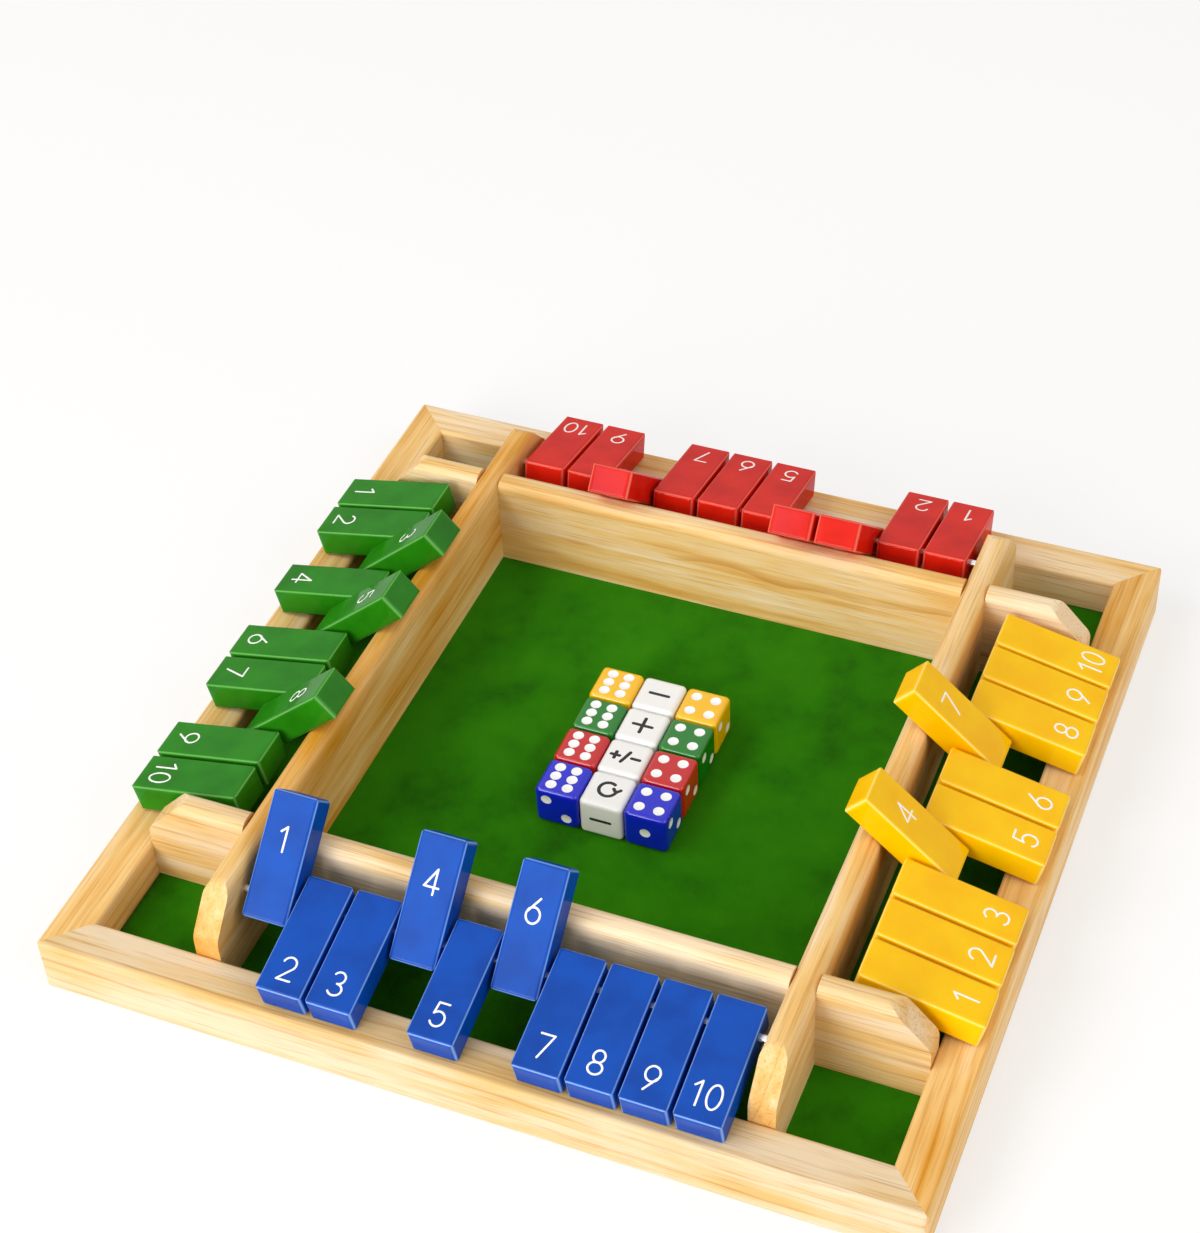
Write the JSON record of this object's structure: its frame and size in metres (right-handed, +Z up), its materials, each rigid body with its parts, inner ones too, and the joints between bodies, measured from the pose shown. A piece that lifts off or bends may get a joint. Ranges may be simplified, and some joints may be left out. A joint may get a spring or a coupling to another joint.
{
  "type": "shut the box game",
  "caption": "Square wooden dice board with a felted tray, corner wells, hinged number tiles along each side that flip on steel rods, and loose dice in the tray.",
  "frame": {"origin": "centre of the board's underside, on the table", "axes": "+Z up, +X to the right, -Y to the front, where the blue tiles are"},
  "size_m": [0.305, 0.305, 0.0617],
  "materials": {
    "pine": "satin clear lacquer",
    "rail_pine": "satin clear lacquer",
    "plywood": "bare",
    "felt": "matt felt",
    "steel": "bright drawn",
    "tile_blue": "gloss paint",
    "tile_yellow": "gloss paint",
    "tile_red": "gloss paint",
    "tile_green": "gloss paint",
    "die_yellow": "gloss",
    "die_green": "gloss",
    "die_red": "gloss",
    "die_blue": "gloss",
    "die_white": "gloss"
  },
  "bodies": {
    "board": {"rail_front": "rail_pine", "rail_right": "rail_pine", "rail_back": "rail_pine", "rail_left": "rail_pine", "base_panel": "plywood", "felt": "felt", "wall_left": "pine", "wall_right": "pine", "wall_front": "pine", "wall_back": "pine", "divider_front_left": "pine", "divider_front_right": "pine", "divider_back_left": "pine", "divider_back_right": "pine", "rods": "steel"},
    "dice_yellow": {"dice_yellow": "die_yellow"},
    "dice_green": {"dice_green": "die_green"},
    "dice_red": {"dice_red": "die_red"},
    "dice_blue": {"dice_blue": "die_blue"},
    "dice_white": {"dice_white": "die_white"},
    "tile_blue_1": {"tile_blue_1": "tile_blue"},
    "tile_blue_2": {"tile_blue_2": "tile_blue"},
    "tile_blue_3": {"tile_blue_3": "tile_blue"},
    "tile_blue_4": {"tile_blue_4": "tile_blue"},
    "tile_blue_5": {"tile_blue_5": "tile_blue"},
    "tile_blue_6": {"tile_blue_6": "tile_blue"},
    "tile_blue_7": {"tile_blue_7": "tile_blue"},
    "tile_blue_8": {"tile_blue_8": "tile_blue"},
    "tile_blue_9": {"tile_blue_9": "tile_blue"},
    "tile_blue_10": {"tile_blue_10": "tile_blue"},
    "tile_yellow_1": {"tile_yellow_1": "tile_yellow"},
    "tile_yellow_2": {"tile_yellow_2": "tile_yellow"},
    "tile_yellow_3": {"tile_yellow_3": "tile_yellow"},
    "tile_yellow_4": {"tile_yellow_4": "tile_yellow"},
    "tile_yellow_5": {"tile_yellow_5": "tile_yellow"},
    "tile_yellow_6": {"tile_yellow_6": "tile_yellow"},
    "tile_yellow_7": {"tile_yellow_7": "tile_yellow"},
    "tile_yellow_8": {"tile_yellow_8": "tile_yellow"},
    "tile_yellow_9": {"tile_yellow_9": "tile_yellow"},
    "tile_yellow_10": {"tile_yellow_10": "tile_yellow"},
    "tile_red_1": {"tile_red_1": "tile_red"},
    "tile_red_2": {"tile_red_2": "tile_red"},
    "tile_red_3": {"tile_red_3": "tile_red"},
    "tile_red_4": {"tile_red_4": "tile_red"},
    "tile_red_5": {"tile_red_5": "tile_red"},
    "tile_red_6": {"tile_red_6": "tile_red"},
    "tile_red_7": {"tile_red_7": "tile_red"},
    "tile_red_8": {"tile_red_8": "tile_red"},
    "tile_red_9": {"tile_red_9": "tile_red"},
    "tile_red_10": {"tile_red_10": "tile_red"},
    "tile_green_1": {"tile_green_1": "tile_green"},
    "tile_green_2": {"tile_green_2": "tile_green"},
    "tile_green_3": {"tile_green_3": "tile_green"},
    "tile_green_4": {"tile_green_4": "tile_green"},
    "tile_green_5": {"tile_green_5": "tile_green"},
    "tile_green_6": {"tile_green_6": "tile_green"},
    "tile_green_7": {"tile_green_7": "tile_green"},
    "tile_green_8": {"tile_green_8": "tile_green"},
    "tile_green_9": {"tile_green_9": "tile_green"},
    "tile_green_10": {"tile_green_10": "tile_green"}
  },
  "joints": [
    {"name": "dice_yellow_lift", "type": "slide", "parent": "board", "child": "dice_yellow", "axis": [0, 0, 1], "range_m": [0, 0.08]},
    {"name": "dice_green_lift", "type": "slide", "parent": "board", "child": "dice_green", "axis": [0, 0, 1], "range_m": [0, 0.08]},
    {"name": "dice_red_lift", "type": "slide", "parent": "board", "child": "dice_red", "axis": [0, 0, 1], "range_m": [0, 0.08]},
    {"name": "dice_blue_lift", "type": "slide", "parent": "board", "child": "dice_blue", "axis": [0, 0, 1], "range_m": [0, 0.08]},
    {"name": "dice_white_lift", "type": "slide", "parent": "board", "child": "dice_white", "axis": [0, 0, 1], "range_m": [0, 0.08]},
    {"name": "tile_blue_1_flip", "type": "hinge", "parent": "board", "child": "tile_blue_1", "pos_m": [-0.07965, -0.1165, 0.035], "axis": [-1, 0, 0], "range_deg": [-150.25, 0]},
    {"name": "tile_blue_2_flip", "type": "hinge", "parent": "board", "child": "tile_blue_2", "pos_m": [-0.06195, -0.1165, 0.035], "axis": [-1, 0, 0], "range_deg": [0, 150.25]},
    {"name": "tile_blue_3_flip", "type": "hinge", "parent": "board", "child": "tile_blue_3", "pos_m": [-0.04425, -0.1165, 0.035], "axis": [-1, 0, 0], "range_deg": [0, 150.25]},
    {"name": "tile_blue_4_flip", "type": "hinge", "parent": "board", "child": "tile_blue_4", "pos_m": [-0.02655, -0.1165, 0.035], "axis": [-1, 0, 0], "range_deg": [-150.25, 0]},
    {"name": "tile_blue_5_flip", "type": "hinge", "parent": "board", "child": "tile_blue_5", "pos_m": [-0.00885, -0.1165, 0.035], "axis": [-1, 0, 0], "range_deg": [0, 150.25]},
    {"name": "tile_blue_6_flip", "type": "hinge", "parent": "board", "child": "tile_blue_6", "pos_m": [0.00885, -0.1165, 0.035], "axis": [-1, 0, 0], "range_deg": [-150.25, 0]},
    {"name": "tile_blue_7_flip", "type": "hinge", "parent": "board", "child": "tile_blue_7", "pos_m": [0.02655, -0.1165, 0.035], "axis": [-1, 0, 0], "range_deg": [0, 150.25]},
    {"name": "tile_blue_8_flip", "type": "hinge", "parent": "board", "child": "tile_blue_8", "pos_m": [0.04425, -0.1165, 0.035], "axis": [-1, 0, 0], "range_deg": [0, 150.25]},
    {"name": "tile_blue_9_flip", "type": "hinge", "parent": "board", "child": "tile_blue_9", "pos_m": [0.06195, -0.1165, 0.035], "axis": [-1, 0, 0], "range_deg": [0, 150.25]},
    {"name": "tile_blue_10_flip", "type": "hinge", "parent": "board", "child": "tile_blue_10", "pos_m": [0.07965, -0.1165, 0.035], "axis": [-1, 0, 0], "range_deg": [0, 150.25]},
    {"name": "tile_yellow_1_flip", "type": "hinge", "parent": "board", "child": "tile_yellow_1", "pos_m": [0.1165, -0.07965, 0.035], "axis": [0, -1, 0], "range_deg": [0, 150.25]},
    {"name": "tile_yellow_2_flip", "type": "hinge", "parent": "board", "child": "tile_yellow_2", "pos_m": [0.1165, -0.06195, 0.035], "axis": [0, -1, 0], "range_deg": [0, 150.25]},
    {"name": "tile_yellow_3_flip", "type": "hinge", "parent": "board", "child": "tile_yellow_3", "pos_m": [0.1165, -0.04425, 0.035], "axis": [0, -1, 0], "range_deg": [0, 150.25]},
    {"name": "tile_yellow_4_flip", "type": "hinge", "parent": "board", "child": "tile_yellow_4", "pos_m": [0.1165, -0.02655, 0.035], "axis": [0, -1, 0], "range_deg": [-150.25, 0]},
    {"name": "tile_yellow_5_flip", "type": "hinge", "parent": "board", "child": "tile_yellow_5", "pos_m": [0.1165, -0.00885, 0.035], "axis": [0, -1, 0], "range_deg": [0, 150.25]},
    {"name": "tile_yellow_6_flip", "type": "hinge", "parent": "board", "child": "tile_yellow_6", "pos_m": [0.1165, 0.00885, 0.035], "axis": [0, -1, 0], "range_deg": [0, 150.25]},
    {"name": "tile_yellow_7_flip", "type": "hinge", "parent": "board", "child": "tile_yellow_7", "pos_m": [0.1165, 0.02655, 0.035], "axis": [0, -1, 0], "range_deg": [-150.25, 0]},
    {"name": "tile_yellow_8_flip", "type": "hinge", "parent": "board", "child": "tile_yellow_8", "pos_m": [0.1165, 0.04425, 0.035], "axis": [0, -1, 0], "range_deg": [0, 150.25]},
    {"name": "tile_yellow_9_flip", "type": "hinge", "parent": "board", "child": "tile_yellow_9", "pos_m": [0.1165, 0.06195, 0.035], "axis": [0, -1, 0], "range_deg": [0, 150.25]},
    {"name": "tile_yellow_10_flip", "type": "hinge", "parent": "board", "child": "tile_yellow_10", "pos_m": [0.1165, 0.07965, 0.035], "axis": [0, -1, 0], "range_deg": [0, 150.25]},
    {"name": "tile_red_1_flip", "type": "hinge", "parent": "board", "child": "tile_red_1", "pos_m": [0.07965, 0.1165, 0.035], "axis": [1, 0, 0], "range_deg": [0, 150.25]},
    {"name": "tile_red_2_flip", "type": "hinge", "parent": "board", "child": "tile_red_2", "pos_m": [0.06195, 0.1165, 0.035], "axis": [1, 0, 0], "range_deg": [0, 150.25]},
    {"name": "tile_red_3_flip", "type": "hinge", "parent": "board", "child": "tile_red_3", "pos_m": [0.04425, 0.1165, 0.035], "axis": [1, 0, 0], "range_deg": [-150.25, 0]},
    {"name": "tile_red_4_flip", "type": "hinge", "parent": "board", "child": "tile_red_4", "pos_m": [0.02655, 0.1165, 0.035], "axis": [1, 0, 0], "range_deg": [-150.25, 0]},
    {"name": "tile_red_5_flip", "type": "hinge", "parent": "board", "child": "tile_red_5", "pos_m": [0.00885, 0.1165, 0.035], "axis": [1, 0, 0], "range_deg": [0, 150.25]},
    {"name": "tile_red_6_flip", "type": "hinge", "parent": "board", "child": "tile_red_6", "pos_m": [-0.00885, 0.1165, 0.035], "axis": [1, 0, 0], "range_deg": [0, 150.25]},
    {"name": "tile_red_7_flip", "type": "hinge", "parent": "board", "child": "tile_red_7", "pos_m": [-0.02655, 0.1165, 0.035], "axis": [1, 0, 0], "range_deg": [0, 150.25]},
    {"name": "tile_red_8_flip", "type": "hinge", "parent": "board", "child": "tile_red_8", "pos_m": [-0.04425, 0.1165, 0.035], "axis": [1, 0, 0], "range_deg": [-150.25, 0]},
    {"name": "tile_red_9_flip", "type": "hinge", "parent": "board", "child": "tile_red_9", "pos_m": [-0.06195, 0.1165, 0.035], "axis": [1, 0, 0], "range_deg": [0, 150.25]},
    {"name": "tile_red_10_flip", "type": "hinge", "parent": "board", "child": "tile_red_10", "pos_m": [-0.07965, 0.1165, 0.035], "axis": [1, 0, 0], "range_deg": [0, 150.25]},
    {"name": "tile_green_1_flip", "type": "hinge", "parent": "board", "child": "tile_green_1", "pos_m": [-0.1165, 0.07965, 0.035], "axis": [0, 1, 0], "range_deg": [0, 150.25]},
    {"name": "tile_green_2_flip", "type": "hinge", "parent": "board", "child": "tile_green_2", "pos_m": [-0.1165, 0.06195, 0.035], "axis": [0, 1, 0], "range_deg": [0, 150.25]},
    {"name": "tile_green_3_flip", "type": "hinge", "parent": "board", "child": "tile_green_3", "pos_m": [-0.1165, 0.04425, 0.035], "axis": [0, 1, 0], "range_deg": [-150.25, 0]},
    {"name": "tile_green_4_flip", "type": "hinge", "parent": "board", "child": "tile_green_4", "pos_m": [-0.1165, 0.02655, 0.035], "axis": [0, 1, 0], "range_deg": [0, 150.25]},
    {"name": "tile_green_5_flip", "type": "hinge", "parent": "board", "child": "tile_green_5", "pos_m": [-0.1165, 0.00885, 0.035], "axis": [0, 1, 0], "range_deg": [-150.25, 0]},
    {"name": "tile_green_6_flip", "type": "hinge", "parent": "board", "child": "tile_green_6", "pos_m": [-0.1165, -0.00885, 0.035], "axis": [0, 1, 0], "range_deg": [0, 150.25]},
    {"name": "tile_green_7_flip", "type": "hinge", "parent": "board", "child": "tile_green_7", "pos_m": [-0.1165, -0.02655, 0.035], "axis": [0, 1, 0], "range_deg": [0, 150.25]},
    {"name": "tile_green_8_flip", "type": "hinge", "parent": "board", "child": "tile_green_8", "pos_m": [-0.1165, -0.04425, 0.035], "axis": [0, 1, 0], "range_deg": [-150.25, 0]},
    {"name": "tile_green_9_flip", "type": "hinge", "parent": "board", "child": "tile_green_9", "pos_m": [-0.1165, -0.06195, 0.035], "axis": [0, 1, 0], "range_deg": [0, 150.25]},
    {"name": "tile_green_10_flip", "type": "hinge", "parent": "board", "child": "tile_green_10", "pos_m": [-0.1165, -0.07965, 0.035], "axis": [0, 1, 0], "range_deg": [0, 150.25]}
  ]
}
